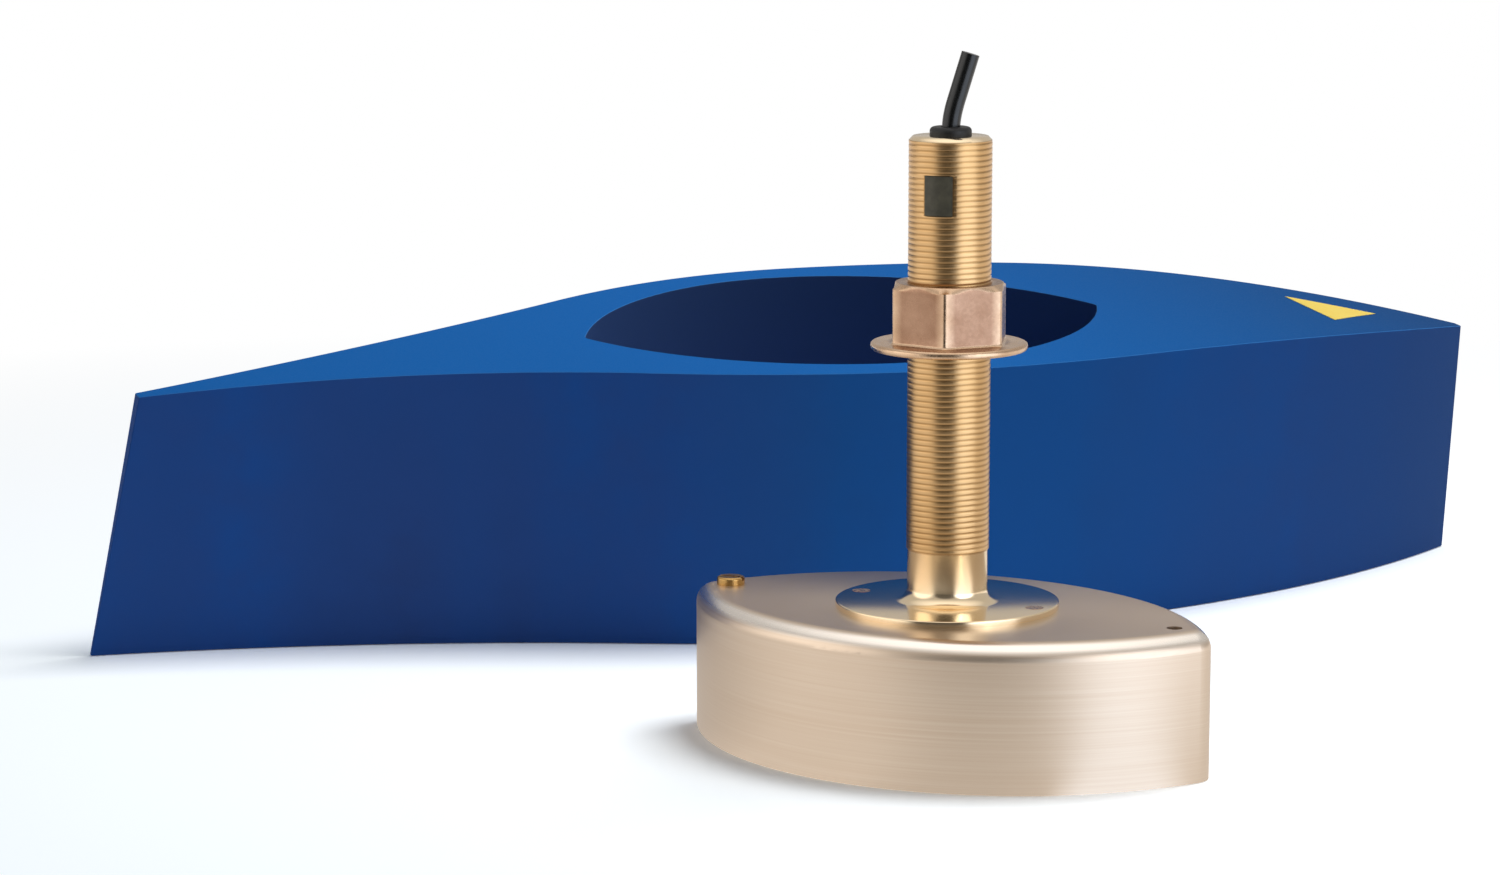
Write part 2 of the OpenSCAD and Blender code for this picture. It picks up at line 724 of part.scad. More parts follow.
module fairing() color([0.10, 0.24, 0.50])
    difference() {
        fairing_pose()
            difference() {
                fairing_block(0);
                translate([0, 0, pocket_z]) lens(-pocket_clear, pocket_tip_r, pocket_depth + over);
                translate([0, 0, block_floor - over])
                    cylinder(d = stem_d + 2 * hull_hole_clear, h = block_height);
                translate([-tip_hole_x, 0, block_floor - over])
                    cylinder(d = bolt_head_d + 2 * hull_hole_clear, h = block_height);
                difference() {
                    mark_prism();
                    fairing_block(mark_t);
                }
            }
        translate([fairing_x - floor_reach, fairing_y - floor_reach, -floor_reach])
            cube([2 * floor_reach, 2 * floor_reach, floor_reach]);
    }

housing();
acoustic_window();
element_carrier();
array_elements();
array_sleeves();
array_pads();
low_elements();
low_sleeves();
low_pads();
element_leads();
backing_plate();
board_spacers();
terminal_board();
conductors();
coil_core_lower();
coil_core_upper();
coil_winding();
temperature_probe();
stem();
flange_oring();
flange_screws();
stem_lock_nut();
hull_nut();
stem_potting();
cable_grommet();
cable();
stem_plate();
anti_rotation_bolt();
fairing();
bow_mark();
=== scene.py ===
"""Looks of a thru-hull sonar transducer in bronze and of its blue fairing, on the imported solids."""

import json
import math

import bmesh
import bpy
import numpy as np
from mathutils import Matrix, Vector


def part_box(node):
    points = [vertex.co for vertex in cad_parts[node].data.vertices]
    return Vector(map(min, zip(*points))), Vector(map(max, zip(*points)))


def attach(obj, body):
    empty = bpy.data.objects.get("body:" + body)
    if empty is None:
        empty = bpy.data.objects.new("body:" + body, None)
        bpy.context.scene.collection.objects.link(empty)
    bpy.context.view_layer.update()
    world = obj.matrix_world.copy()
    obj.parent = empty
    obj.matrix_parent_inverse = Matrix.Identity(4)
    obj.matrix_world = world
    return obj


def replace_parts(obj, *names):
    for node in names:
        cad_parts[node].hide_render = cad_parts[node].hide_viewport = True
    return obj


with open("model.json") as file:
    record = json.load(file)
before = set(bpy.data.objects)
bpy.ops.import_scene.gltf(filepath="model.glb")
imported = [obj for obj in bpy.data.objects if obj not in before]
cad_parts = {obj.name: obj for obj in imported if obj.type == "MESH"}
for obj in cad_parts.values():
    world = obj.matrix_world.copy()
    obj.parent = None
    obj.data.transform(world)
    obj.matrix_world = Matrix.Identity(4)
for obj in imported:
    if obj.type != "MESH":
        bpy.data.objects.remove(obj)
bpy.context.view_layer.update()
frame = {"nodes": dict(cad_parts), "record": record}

TURN = 2 * math.pi
MM = 0.001
ORIGIN = (0, 0, 0)
UP = (0, 0, 1)
SHARP_EDGE = math.radians(35)
SHARP_THREAD = math.radians(50)
MERGE_WITHIN = 1e-6
NO_TRIANGLES = np.empty((0, 3), dtype=int)

# Camera, in the part's frame
CAMERA_PLACE = (0.6567, -1.4609, 0.3884)
CAMERA_TURN = math.radians(26.918)
CAMERA_DIP = math.radians(9.44)
CAMERA_LENS = 101.83
CAMERA_SENSOR = 36

# Even light on surfaces, the backdrop, and the floor, which turns plain white over FLOOR_FADE
AMBIENT = 0.1
AMBIENT_TINT = (0.7, 0.96, 1.2, 1)
WHITE = (1, 1, 1, 1)
BACKDROP_LEVEL = 1.1
FLOOR_HALF = 12
FLOOR_DROP = 0.3 * MM
FLOOR_BOUNCE = (0.72, 0.72, 0.72, 1)
FLOOR_SEEN = (1.5, 1.54, 1.56, 1)
FLOOR_FADE = (0.35, 1.2)
FLOOR_NEAR_GLOW = 0.05

# Parts of the tent that metal mirrors: turn from the camera, half width and soft edge, in degrees
STEM_FRONT = (-8, 26, 10)
STEM_PANEL = (47, 24, 8)
SIDE_PANEL = (-78, 24, 14)
WALL_BACK = (-150, 40, 30)
WALL_FRONT = (0, 11, 26)
WALL_PANEL = (42, 9, 9)

# Levels of the tent and its parts in a mirror: on the floor near by, on the floor far off, and above it
MIRROR_TINT = (1, 0.97, 0.94, 1)
PANEL_TINT = (0.95, 1.04, 1.19, 1)
NEAR_LEVEL = 0.92
NEAR_PARTS = ((WALL_BACK, 0.7), (WALL_FRONT, 0.78), (WALL_PANEL, 1.38))
FAR_LEVEL = 1.15
FAR_PARTS = ((STEM_FRONT, 0.08), (STEM_PANEL, 2.1))
NEAR_TO_FAR = (0.3, 0.6)
CEILING_RISE = (0.6, 0.95)
CEILING_LEVELS = (0.55, 1.26)
HIGH_PARTS = ((SIDE_PANEL, 1.6), (STEM_FRONT, 0.12), (STEM_PANEL, 2.1))

# Lamps: place, aim and size in metres, power in watts, and whether metal mirrors the lamp
KEY_LAMP = dict(
    place=(1.35, -0.62, 0.6), aim=(0, 0, 0.2), width=0.18, height=0.4, power=0.4, in_mirror=True,
)
TOP_LAMP = dict(
    place=(0.35, 0.5, 1.8), aim=(-0.1, 0.12, 0), width=1, height=1, power=27, in_mirror=False,
)

# Cable: its route is the distance along the lean and the height over the stem's top, in millimetres
CABLE_ROUTE = (
    (0, -14), (0, -11), (0, -8), (0, -5), (0, -2), (0, 1), (0.15, 4), (0.5, 7),
    (1.1, 10), (1.9, 13), (2.8, 16), (3.7, 19), (4.6, 22), (5.5, 25), (6.4, 28), (7.3, 31),
)
CABLE_LEAN = math.radians(27)
CABLE_R = 3.5 * MM
CABLE_STEPS = 4
CABLE_SIDES = 28
CABLE_END_SHARES = (0.02, 0.9)

# Stem
BORE_R = 6.5 * MM
SPIGOT_R = 12 * MM
STEM_R = 15.875 * MM
SHANK_R = 15.5 * MM
SHANK_LENGTH = 20.5 * MM
SEAT_T = 2.45 * MM
SEAT_EDGE = 0.5 * MM
FOOT_R = 5 * MM
STEM_CHAMFER = 1.5 * MM
STEM_SIDES = 96
THREAD_PITCH = 25.4 / 12 * MM
THREAD_DEPTH = 0.13 * MM
THREAD_ROWS_PER_TURN = 9
THREAD_CREST_FROM = 0.52
THREAD_ROOT_TO = 0.08
PLATE_SEAT_R = 15.375 * MM
PLATE_TURN = math.radians(-83)
PLATE_SPREAD = math.radians(41)
PLATE_SPREAD_MARGIN = 0.02
PLATE_END_MARGIN = 0.2 * MM

# Hull nut
NUT_FLATS = 6
NUT_FLAT_R = 20.75 * MM
NUT_HALF_FLAT = TURN / NUT_FLATS / 2
NUT_CORNER_ROUND = 1.6 * MM
NUT_TURN = math.radians(50)
NUT_CHAMFER = 2 * MM
NUT_WALL_DROP = 1.3 * NUT_CHAMFER
NUT_FLANGE_R = 30 * MM
NUT_FLANGE_T = 3 * MM
NUT_BORE_R = 15.3 * MM
NUT_LEAD = 1.2 * MM
NUT_FILLET = 1.2 * MM
NUT_EDGE = 0.7 * MM
FLANGE_EDGE = 1.3 * MM
NUT_SIDES = 240
NUT_WALL_ROWS = 6

# Housing's outline, which the fairing's pocket repeats
HOUSING_HALF_LENGTH = 107.5 * MM
HOUSING_HALF_WIDTH = 67 * MM
HOUSING_TIP_R = 10 * MM
HOUSING_TIP_X = HOUSING_HALF_LENGTH - HOUSING_TIP_R
HOUSING_BULGE = HOUSING_TIP_X**2 / (HOUSING_HALF_WIDTH - HOUSING_TIP_R)
HOUSING_ARC_R = (HOUSING_BULGE + HOUSING_HALF_WIDTH + HOUSING_TIP_R) / 2
HOUSING_ARC_Y = HOUSING_ARC_R - HOUSING_HALF_WIDTH

# Fairing, in its own frame: x to the bow, z up from the hull side
FAIRING_PLACE = (-169 * MM, 250 * MM)
FAIRING_TURN = math.radians(49)
DEADRISE = math.radians(6.2)
BOW_X = 319 * MM
TAIL_X = -322 * MM
BEAM_X = 18 * MM
BEAM_HALF = 98 * MM
BOW_HALF = 2.5 * MM
TAIL_HALF = 4 * MM
TAIL_SLOPE = math.radians(26)
TAIL_END_SLOPE = math.radians(8)
TAIL_RAKE = math.radians(10)
FAIRING_HEIGHT = 130 * MM
BOW_CROWN_X = 100 * MM
BOW_CROWN_R = 1200 * MM
TAIL_CROWN_R = 3200 * MM
POCKET_CLEAR = 14.5 * MM
POCKET_TIP_R = 4 * MM
POCKET_Z = 71 * MM
STEM_HOLE_R = 17.375 * MM
BOLT_HOLE_R = 7 * MM
BOLT_HOLE_X = -93.5 * MM
HOLE_COLLAR = 3 * MM
HOLE_SIDES = 64
FAIRING_EDGE = 1.4 * MM
FAIRING_EDGE_STEPS = 3
FAIRING_SIDE_STEPS = 120
FAIRING_END_STEPS = 4
FAIRING_WALL_ROWS = 9
FAIRING_TOP_ROWS = 9
POCKET_WALL_ROWS = 5
FLAT_INSET = 0.96

# Bow mark
MARK_LENGTH = 36 * MM
MARK_WIDTH = 48 * MM
MARK_POINT_X = BOW_X - 46 * MM
MARK_PROUD = 0.15 * MM
MARK_POINT_SHARE = 0.995
MARK_ROWS = 16
MARK_COLUMNS = 13

# Shader nodes: the sockets of a Mix node's two colours and of its result, and the middle of a noise's range
MIX_COLOURS = (6, 7)
MIXED_COLOUR = 2
NOISE_MIDDLE = (0.3, 0.7)


def linear(red, green, blue):
    """A colour in steps of 0 to 255, as the linear value that shaders take, by the usual screen curve: a
    straight line near black and a power above it."""
    line_end = 0.04045
    line_slope = 12.92
    offset = 0.055
    power = 2.4
    share = np.array([red, green, blue]) / 255
    curve = ((share + offset) / (1 + offset)) ** power
    value = np.where(share <= line_end, share / line_slope, curve)
    return (*value.tolist(), 1.0)


# Shader nodes

def new_finish(name):
    """A material with its node tree and its main shader."""
    material = bpy.data.materials.new(name)
    material.use_nodes = True
    tree = material.node_tree
    return material, tree, tree.nodes["Principled BSDF"]


def set_or_link(tree, socket, value):
    """A socket's value: a constant, or another node's output."""
    if isinstance(value, (int, float, tuple)):
        socket.default_value = value
    else:
        tree.links.new(value, socket)


def noise(tree, scale, detail, stretch=(1, 1, 1)):
    """Noise on the piece's own coordinates, with its scale multiplied along each axis."""
    place = tree.nodes.new("ShaderNodeTexCoord")
    mapping = tree.nodes.new("ShaderNodeMapping")
    mapping.inputs["Scale"].default_value = stretch
    texture = tree.nodes.new("ShaderNodeTexNoise")
    texture.inputs["Scale"].default_value = scale
    texture.inputs["Detail"].default_value = detail
    tree.links.new(place.outputs["Object"], mapping.inputs["Vector"])
    tree.links.new(mapping.outputs["Vector"], texture.inputs["Vector"])
    return texture.outputs["Fac"]


def ramp(tree, value, start, end, low=0, high=1):
    """A value's way from start to end, as a way from low to high that stops at both."""
    step = tree.nodes.new("ShaderNodeMapRange")
    step.inputs["From Min"].default_value = start
    step.inputs["From Max"].default_value = end
    set_or_link(tree, step.inputs["To Min"], low)
    set_or_link(tree, step.inputs["To Max"], high)
    tree.links.new(value, step.inputs["Value"])
    return step.outputs["Result"]


def blend(tree, share, low, high):
    """A value that goes from low to high as a share goes from 0 to 1."""
    return ramp(tree, share, 0, 1, low, high)


def spread(tree, value, low=0, high=1):
    """The middle of a noise's range, widened to run from low to high."""
    return ramp(tree, value, *NOISE_MIDDLE, low, high)


def math_node(tree, operation, first, second):
    """Two outputs joined by one operation."""
    node = tree.nodes.new("ShaderNodeMath")
    node.operation = operation
    tree.links.new(first, node.inputs[0])
    tree.links.new(second, node.inputs[1])
    return node.outputs["Value"]


def vector_node(tree, operation, first, second=ORIGIN):
    """The outputs of one vector operation on an output and a constant vector."""
    node = tree.nodes.new("ShaderNodeVectorMath")
    node.operation = operation
    tree.links.new(first, node.inputs[0])
    node.inputs[1].default_value = second
    return node.outputs


def flat_vector(tree, x, y):
    """A level vector from two outputs."""
    joined = tree.nodes.new("ShaderNodeCombineXYZ")
    tree.links.new(x, joined.inputs["X"])
    tree.links.new(y, joined.inputs["Y"])
    return joined.outputs["Vector"]


def towards(tree, direction, aim):
    """The cosine of the angle between a direction and an aim."""
    unit = vector_node(tree, "NORMALIZE", direction)["Vector"]
    return vector_node(tree, "DOT_PRODUCT", unit, aim)["Value"]


def between(tree, value, rise, fall):
    """1 where a value lies between two soft limits: it rises over the first and falls over the second."""
    return math_node(tree, "MULTIPLY", ramp(tree, value, *rise), ramp(tree, value, *fall, 1, 0))


def upwards(tree):
    """How far a surface faces up: 1 on a level top, 0 on a wall."""
    place = tree.nodes.new("ShaderNodeTexCoord")
    return towards(tree, place.outputs["Normal"], UP)


def mix_colours(tree, factor, first, second):
    """Two colours mixed by a factor; each is a colour or another node's output."""
    mixer = tree.nodes.new("ShaderNodeMix")
    mixer.data_type = "RGBA"
    tree.links.new(factor, mixer.inputs["Factor"])
    for socket, colour in zip(MIX_COLOURS, (first, second)):
        set_or_link(tree, mixer.inputs[socket], colour)
    return mixer.outputs[MIXED_COLOUR]


def bump(tree, shader, height, strength, distance):
    """Small relief on the surface; distance is the relief's height in metres."""
    relief = tree.nodes.new("ShaderNodeBump")
    relief.inputs["Strength"].default_value = strength
    relief.inputs["Distance"].default_value = distance
    tree.links.new(height, relief.inputs["Height"])
    tree.links.new(relief.outputs["Normal"], shader.inputs["Normal"])


def part_place(tree):
    """The distance from the stem's axis and the height, in the part's frame."""
    place = tree.nodes.new("ShaderNodeTexCoord")
    split = tree.nodes.new("ShaderNodeSeparateXYZ")
    tree.links.new(place.outputs["Object"], split.inputs["Vector"])
    level = flat_vector(tree, split.outputs["X"], split.outputs["Y"])
    return vector_node(tree, "LENGTH", level)["Value"], split.outputs["Z"]


def fairing_place(tree):
    """The shader's place in the fairing's own frame: along to the bow, across, up from the hull side."""
    turn = Matrix.Rotation(FAIRING_TURN, 3, "Z") @ Matrix.Rotation(DEADRISE, 3, "X")
    place = tree.nodes.new("ShaderNodeTexCoord")
    moved = vector_node(tree, "SUBTRACT", place.outputs["Object"], (*FAIRING_PLACE, 0))["Vector"]
    return [vector_node(tree, "DOT_PRODUCT", moved, axis)["Value"] for axis in turn.col]


def in_pocket(tree, along, across, height, upward):
    """1 on the walls and the floor of the fairing's pocket, where shade is painted: within both of its
    arcs, below its rim.
    """
    level = flat_vector(tree, along, across)
    from_near = vector_node(tree, "DISTANCE", level, (0, HOUSING_ARC_Y, 0))["Value"]
    from_far = vector_node(tree, "DISTANCE", level, (0, -HOUSING_ARC_Y, 0))["Value"]
    farther = math_node(tree, "MAXIMUM", from_near, from_far)
    side_r = HOUSING_ARC_R + POCKET_CLEAR
    rim_fade = (side_r + 0.5 * MM, side_r + MM)
    floor_fade = (POCKET_Z + 5 * MM, POCKET_Z + 10 * MM)
    wall_fade = (0.3, 0.5)
    inside = ramp(tree, farther, *rim_fade, 1, 0)
    at_floor = ramp(tree, height, *floor_fade, 1, 0)
    at_wall = ramp(tree, upward, *wall_fade, 1, 0)
    return math_node(tree, "MULTIPLY", inside, math_node(tree, "MAXIMUM", at_floor, at_wall))


# Finishes

def plain_finish(name, dark, light, roughness, metallic=0.0, blotch=60, grain=900, relief=0.03 * MM,
                 stretch=(1, 1, 1)):
    """A finish in blotches of two close tones, with a roughness range and a grain in its relief."""
    material, tree, shader = new_finish(name)
    blotches = spread(tree, noise(tree, blotch, detail=4, stretch=stretch))
    tone = mix_colours(tree, blotches, linear(*dark), linear(*light))
    tree.links.new(tone, shader.inputs["Base Color"])
    shader.inputs["Metallic"].default_value = metallic
    fine = noise(tree, grain, detail=3, stretch=stretch)
    tree.links.new(spread(tree, fine, *roughness), shader.inputs["Roughness"])
    bump(tree, shader, fine, strength=0.5, distance=relief)
    return material


def turned_bronze():
    """Golden bronze: fine turning rings, painted shade in the thread's roots, a foot and top edge of finer
    polish painted paler as a highlight.
    """
    material, tree, shader = new_finish("stem_bronze")
    dark_tone = linear(196, 156, 106)
    light_tone = linear(222, 187, 140)
    ring_tone = linear(200, 160, 108)
    # Painted shade: the root tone darkens the thread's grooves; painted highlight: the paler tone below the
    # thread and on the top chamfer
    root_painted_shade = linear(170, 132, 86)
    polished_highlight_tone = linear(246, 224, 188)
    thread_roughness = (0.29, 0.37)
    polished_roughness = 0.18
    seat_roughness = 0.16
    seat_fade = 0.3 * MM
    reach, height = part_place(tree)
    seat_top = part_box("housing")[1].z + SEAT_T
    thread_z = seat_top + SHANK_LENGTH
    stem_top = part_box("stem")[1].z
    rings = noise(tree, scale=1, detail=3, stretch=(16, 16, 4200))
    cloud = spread(tree, noise(tree, scale=1, detail=4, stretch=(45, 45, 30)))
    tone = mix_colours(tree, cloud, dark_tone, light_tone)
    dulled = mix_colours(tree, spread(tree, rings), ring_tone, tone)
    out_of_root = ramp(tree, reach, STEM_R - THREAD_DEPTH, STEM_R - 0.2 * THREAD_DEPTH)
    # Below the thread and on the top chamfer: a finer polish in the roughness, and a paler tone as a
    # painted highlight
    below_thread = ramp(tree, height, thread_z - MM, thread_z, 1, 0)
    over_thread = ramp(tree, height, stem_top - STEM_CHAMFER, stem_top - 0.8 * STEM_CHAMFER)
    polished_and_highlight = math_node(tree, "MAXIMUM", below_thread, over_thread)
    # Painted shade in the thread's roots, left out where the paler highlight tone is
    out_of_shade = math_node(tree, "MAXIMUM", out_of_root, polished_and_highlight)
    root_shaded = mix_colours(tree, out_of_shade, root_painted_shade, dulled)
    tree.links.new(mix_colours(tree, polished_and_highlight, root_shaded, polished_highlight_tone), shader.inputs["Base Color"])
    shader.inputs["Metallic"].default_value = 1.0
    stem_roughness = blend(tree, polished_and_highlight, spread(tree, rings, *thread_roughness), polished_roughness)
    roughness = ramp(tree, height, seat_top, seat_top + seat_fade, seat_roughness, stem_roughness)
    tree.links.new(roughness, shader.inputs["Roughness"])
    bump(tree, shader, rings, strength=0.2, distance=0.01 * MM)
    return material


def brushed_bronze():
    """Pale satin bronze: fine faint level lines under broad clouds, its rounded top edge painted paler as a
    highlight.
    """
    material, tree, shader = new_finish("housing_bronze")
    dark_tone = linear(222, 202, 181)
    light_tone = linear(228, 211, 191)
    line_tone = linear(219, 198, 176)
    # Painted highlight: a paler tone on the rounded top edge
    edge_highlight_tone = linear(252, 244, 234)
    satin_roughness = (0.34, 0.38)
    edge_roughness = 0.26
    lines = noise(tree, scale=1, detail=4, stretch=(9, 9, 1500))
    cloud = spread(tree, noise(tree, scale=11, detail=3))
    base = mix_colours(tree, cloud, dark_tone, light_tone)
    streaked = mix_colours(tree, spread(tree, lines), line_tone, base)
    # The rounded top edge takes the paler tone as a painted highlight, and a lower roughness
    highlight_share = between(tree, upwards(tree), rise=(0.35, 0.6), fall=(0.85, 0.98))
    tree.links.new(mix_colours(tree, highlight_share, streaked, edge_highlight_tone), shader.inputs["Base Color"])
    shader.inputs["Metallic"].default_value = 1.0
    shader.inputs["Anisotropic"].default_value = 0.4
    roughness = blend(tree, highlight_share, spread(tree, lines, *satin_roughness), edge_roughness)
    tree.links.new(roughness, shader.inputs["Roughness"])
    around = tree.nodes.new("ShaderNodeTangent")
    around.direction_type = "RADIAL"
    around.axis = "Z"
    tree.links.new(around.outputs["Tangent"], shader.inputs["Tangent"])
    bump(tree, shader, lines, strength=0.025, distance=0.01 * MM)
    return material


def nut_bronze():
    """Reddish cast bronze with blotches and a fine grain, its flange, corners and chamfers painted paler as
    a highlight.
    """
    material, tree, shader = new_finish("nut_bronze")
    cast_dark = linear(142, 108, 86)
    cast_light = linear(168, 134, 111)
    # Painted highlight: paler tones on the flange, the hexagon's corners and the chamfers
    highlight_dark = linear(204, 170, 138)
    highlight_light = linear(220, 190, 160)
    roughness = (0.22, 0.38)
    reach, _ = part_place(tree)
    blotch = spread(tree, noise(tree, scale=90, detail=4))
    cast = mix_colours(tree, blotch, cast_dark, cast_light)
    highlight_blotch = mix_colours(tree, blotch, highlight_dark, highlight_light)
    # Flange, corners and upward chamfers take the paler tones as a painted highlight
    off_flats = ramp(tree, reach, NUT_FLAT_R + 1.3 * MM, NUT_FLAT_R + 3.2 * MM)
    on_chamfer = between(tree, upwards(tree), rise=(0.2, 0.4), fall=(0.9, 0.98))
    highlight_share = math_node(tree, "MAXIMUM", off_flats, on_chamfer)
    tree.links.new(mix_colours(tree, highlight_share, cast, highlight_blotch), shader.inputs["Base Color"])
    shader.inputs["Metallic"].default_value = 1.0
    grain = noise(tree, scale=700, detail=3)
    tree.links.new(spread(tree, grain, *roughness), shader.inputs["Roughness"])
    bump(tree, shader, grain, strength=0.5, distance=0.05 * MM)
    return material


def fairing_plastic():
    """Blue moulded plastic with little sheen: clouds on its sides, clearer amidships as painted light and
    darker to the bow as painted shade, a top in its own blue as painted light, painted highlights on the
    edges and painted shade in the pocket."""
    material, tree, shader = new_finish("fairing_blue")
    dull_side = linear(66, 92, 158)
    clear_side = linear(36, 114, 216)
    speck = linear(60, 102, 184)
    # Painted light and shade: a clearer side amidships, darker to the bow, a top tone of its own, paler
    # edges as a highlight, a darker pocket
    middle_side_painted_light = linear(25, 115, 207)
    bow_side_painted_shade = linear(44, 86, 150)
    tail_top_painted_light = linear(17, 101, 178)
    bow_top_painted_light_and_shade = linear(6, 64, 118)
    edge_painted_highlight = linear(64, 134, 204)
    pocket_painted_shade = linear(66, 92, 142)
    middle_rise = (-115 * MM, -40 * MM)
    middle_fall = (70 * MM, 210 * MM)
    middle_share = 0.7
    bow_share = 0.8
    roughness = (0.5, 0.62)
    sheen = 0.03
    along, across, height = fairing_place(tree)
    upward = upwards(tree)
    cloud = spread(tree, noise(tree, scale=9, detail=2, stretch=(1, 1, 0.15)))
    fine_cloud = spread(tree, noise(tree, scale=48, detail=4), low=0.3)
    side = mix_colours(tree, cloud, dull_side, clear_side)
    speckled = mix_colours(tree, fine_cloud, speck, side)
    # Painted light amidships and painted shade towards the bow
    amidships = between(tree, along, middle_rise, middle_fall)
    clearer = mix_colours(tree, blend(tree, amidships, 0, middle_share), speckled, middle_side_painted_light)
    to_bow = ramp(tree, along, BEAM_X, BOW_X)
    shaded = mix_colours(tree, blend(tree, to_bow, 0, bow_share), clearer, bow_side_painted_shade)
    # Painted light: the top takes its own tone for how light falls on it, darker to the bow as painted
    # shade
    crown = mix_colours(tree, to_bow, tail_top_painted_light, bow_top_painted_light_and_shade)
    on_top = ramp(tree, upward, start=0.6, end=0.9)
    faced = mix_colours(tree, on_top, shaded, crown)
    # Painted highlight along the rounded edges
    highlight_share = between(tree, upward, rise=(0.3, 0.6), fall=(0.75, 0.95))
    edge_highlighted = mix_colours(tree, highlight_share, faced, edge_painted_highlight)
    # Painted shade in the pocket
    pocket_shaded = mix_colours(tree, in_pocket(tree, along, across, height, upward), edge_highlighted, pocket_painted_shade)
    tree.links.new(pocket_shaded, shader.inputs["Base Color"])
    grain = noise(tree, scale=1400, detail=3)
    tree.links.new(spread(tree, grain, *roughness), shader.inputs["Roughness"])
    shader.inputs["Specular IOR Level"].default_value = sheen
    bump(tree, shader, grain, strength=0.2, distance=0.03 * MM)
    return material


FINISHES = {
    "cast_bronze": brushed_bronze(),
    "turned_bronze": turned_bronze(),
    "nut_bronze": nut_bronze(),
    "brass": plain_finish("bright_brass", (182, 142, 84), (208, 170, 108), (0.26, 0.4), metallic=1.0),
    "window_urethane": plain_finish("window_urethane", (28, 28, 30), (40, 40, 42), (0.5, 0.65)),
    "carrier_foam": plain_finish("carrier_foam", (206, 196, 164), (226, 216, 188), (0.8, 0.95),
                                 relief=0.2 * MM),
    "ceramic": plain_finish("ceramic", (176, 170, 152), (196, 190, 174), (0.5, 0.65)),
    "cork": plain_finish("cork", (116, 78, 46), (162, 118, 76), (0.75, 0.9), blotch=420, relief=0.15 * MM),
    "copper": plain_finish("copper", (186, 104, 62), (214, 136, 92), (0.25, 0.4), metallic=1.0),
    "backing": plain_finish("backing", (212, 206, 190), (226, 220, 206), (0.6, 0.75)),
    "white_plastic": plain_finish("white_plastic", (224, 224, 216), (236, 236, 230), (0.4, 0.5)),
    "board_green": plain_finish("board_green", (16, 70, 38), (22, 86, 48), (0.3, 0.4)),
    "wire_red": plain_finish("wire_red", (140, 26, 22), (164, 36, 30), (0.4, 0.5)),
    "ferrite": plain_finish("ferrite", (46, 44, 44), (60, 58, 58), (0.6, 0.75)),
    "seal_rubber": plain_finish("seal_rubber", (16, 16, 18), (26, 26, 28), (0.45, 0.6)),
    "potting": plain_finish("potting", (20, 20, 22), (30, 30, 32), (0.35, 0.5)),
    "cable_black": plain_finish("cable_black", (10, 12, 13), (18, 20, 21), (0.24, 0.34),
                                stretch=(1, 1, 0.3)),
    "plate_dark": plain_finish("plate_dark", (88, 84, 68), (122, 114, 94), (0.4, 0.5), blotch=240),
    "fairing_blue": fairing_plastic(),
    "mark_yellow": plain_finish("mark_yellow", (255, 216, 76), (255, 224, 96), (0.4, 0.5)),
}


# Surfaces

def grid_faces(rows, columns, close_rows=False, close_columns=True):
    """Quads of a grid of points, row by row; a closed direction joins its last line to its first."""
    row = np.arange(rows if close_rows else rows - 1)
    column = np.arange(columns if close_columns else columns - 1)
    r, c = np.meshgrid(row, column, indexing="ij")
    r_next = (r + 1) % rows
    c_next = (c + 1) % columns
    corners = (r * columns + c, r * columns + c_next, r_next * columns + c_next, r_next * columns + c)
    return np.stack(corners, axis=-1).reshape(-1, 4)


def add_piece(name, points, quads, slot, triangles=NO_TRIANGLES, sharp=SHARP_EDGE):
    """A closed mesh from points and faces: merged, turned outwards, shaded smooth below an angle."""
    mesh = bpy.data.meshes.new(name)
    mesh.from_pydata(points.reshape(-1, 3).tolist(), [], quads.tolist() + triangles.tolist())
    shell = bmesh.new()
    shell.from_mesh(mesh)
    bmesh.ops.remove_doubles(shell, verts=shell.verts, dist=MERGE_WITHIN)
    bmesh.ops.recalc_face_normals(shell, faces=shell.faces)
    shell.to_mesh(mesh)
    shell.free()
    mesh.shade_smooth()
    mesh.set_sharp_from_angle(angle=sharp)
    piece = bpy.data.objects.new(name, mesh)
    bpy.context.scene.collection.objects.link(piece)
    mesh.materials.append(FINISHES[slot])
    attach(piece, "root")
    return piece


def arc(middle, radius, start, end, steps):
    """Points of a circle's arc in a profile, from one angle in degrees to another."""
    angle = np.radians(np.linspace(start, end, steps))
    return np.stack([middle[0] + radius * np.cos(angle), middle[1] + radius * np.sin(angle)], axis=-1)


def revolve(radius, height, turns):
    """Points at each profile row's radius and height, at each angle; radius may differ by angle."""
    x = radius * np.cos(turns)
    y = radius * np.sin(turns)
    z = np.broadcast_to(height, x.shape)
    return np.stack([x, y, z], axis=-1)


def flat_between(loops):
    """A flat face with holes: closed loops of points, and the triangles that fill the space between."""
    points = np.concatenate(loops)
    starts = np.cumsum([0] + [len(loop) for loop in loops[:-1]])
    rings = [start + np.arange(len(loop)) for start, loop in zip(starts, loops)]
    edges = np.concatenate([np.column_stack([np.roll(ring, 1), ring]) for ring in rings])
    mesh = bpy.data.meshes.new("flat")
    mesh.from_pydata(points.tolist(), edges.tolist(), [])
    shell = bmesh.new()
    shell.from_mesh(mesh)
    bmesh.ops.triangle_fill(shell, edges=shell.edges, use_beauty=True)
    shell.to_mesh(mesh)
    shell.free()
    corners = np.empty(len(mesh.loops), dtype=np.int32)
    mesh.loops.foreach_get("vertex_index", corners)
    bpy.data.meshes.remove(mesh)
    return points, corners.reshape(-1, 3)


# Cable

